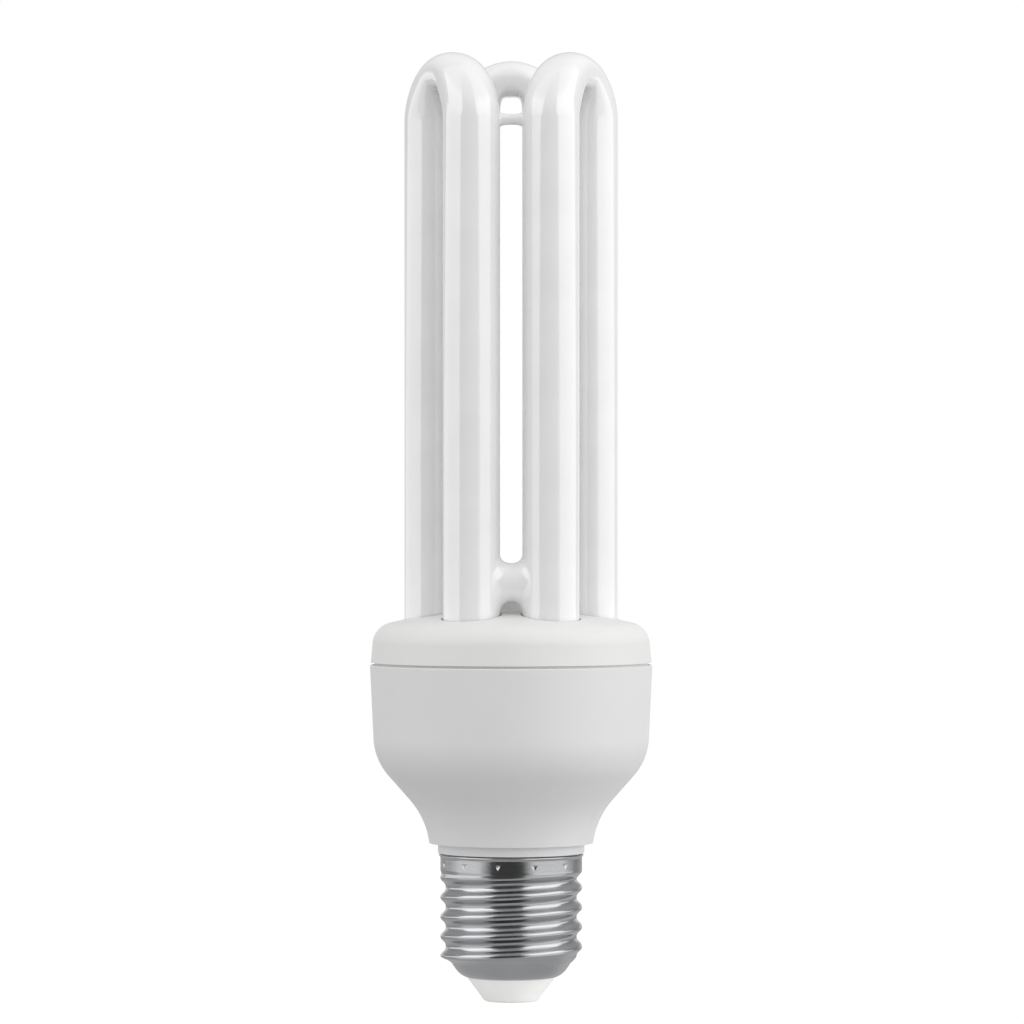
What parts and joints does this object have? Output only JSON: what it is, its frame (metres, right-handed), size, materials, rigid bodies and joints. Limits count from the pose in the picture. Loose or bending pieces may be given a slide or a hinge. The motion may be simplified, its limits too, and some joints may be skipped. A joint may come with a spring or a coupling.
{
  "type": "u-tube compact fluorescent lamp",
  "caption": "Tall compact fluorescent lamp: white-coated glass U tubes standing on a domed plastic ballast housing with an Edison screw cap. It screws into a lampholder to give light.",
  "frame": {"origin": "middle of the centre contact's flat underside, on the lamp's axis", "axes": "+Z along the lamp's axis from the screw cap towards the glass; seen from -Y, two of the U tubes stand in front and one behind"},
  "size_m": [0.0522, 0.0522, 0.1749],
  "materials": {
    "coated_glass": "clear glass with a white phosphor coating inside, so it is opaque and glossy",
    "cement": "set cement",
    "cover_plastic": "white moulded PBT, satin",
    "housing_plastic": "white moulded PBT, satin",
    "cap_metal": "rolled sheet metal, nickel plated",
    "cap_insulation": "white moulded insulation",
    "contact_metal": "plated contact with a solder cap",
    "board_laminate": "paper laminate",
    "tinned_wire": "tinned",
    "capacitor_sleeve": "shrunk sleeve",
    "ferrite": "sintered ferrite",
    "bobbin_plastic": "moulded",
    "enamelled_copper": "enamelled copper wire",
    "moulded_epoxy": "moulded epoxy",
    "dipped_film": "dipped coating",
    "shrink_sleeve": "shrunk sleeve",
    "resistor_coat": "lacquered",
    "lead_insulation": "extruded insulation"
  },
  "bodies": {
    "root": {"discharge_tube": "coated_glass", "tube_cement": "cement", "upper_cover": "cover_plastic", "lower_housing": "housing_plastic", "screw_shell": "cap_metal", "cap_insulator": "cap_insulation", "centre_contact": "contact_metal", "circuit_board": "board_laminate", "wrap_pins": "tinned_wire", "filament_leads": "tinned_wire", "electrolytic_capacitor": "capacitor_sleeve", "choke_core_front": "ferrite", "choke_core_rear": "ferrite", "choke_bobbin": "bobbin_plastic", "choke_winding": "enamelled_copper", "drive_core": "ferrite", "drive_windings": "enamelled_copper", "transistor_1": "moulded_epoxy", "transistor_2": "moulded_epoxy", "bridge_rectifier": "moulded_epoxy", "start_capacitor": "dipped_film", "blocking_capacitor": "dipped_film", "filter_inductor": "shrink_sleeve", "resistor_1": "resistor_coat", "resistor_2": "resistor_coat", "resistor_3": "resistor_coat", "resistor_4": "resistor_coat", "trigger_diode": "moulded_epoxy", "live_lead": "lead_insulation", "fuse_resistor": "shrink_sleeve", "neutral_lead": "lead_insulation"}
  },
  "joints": []
}
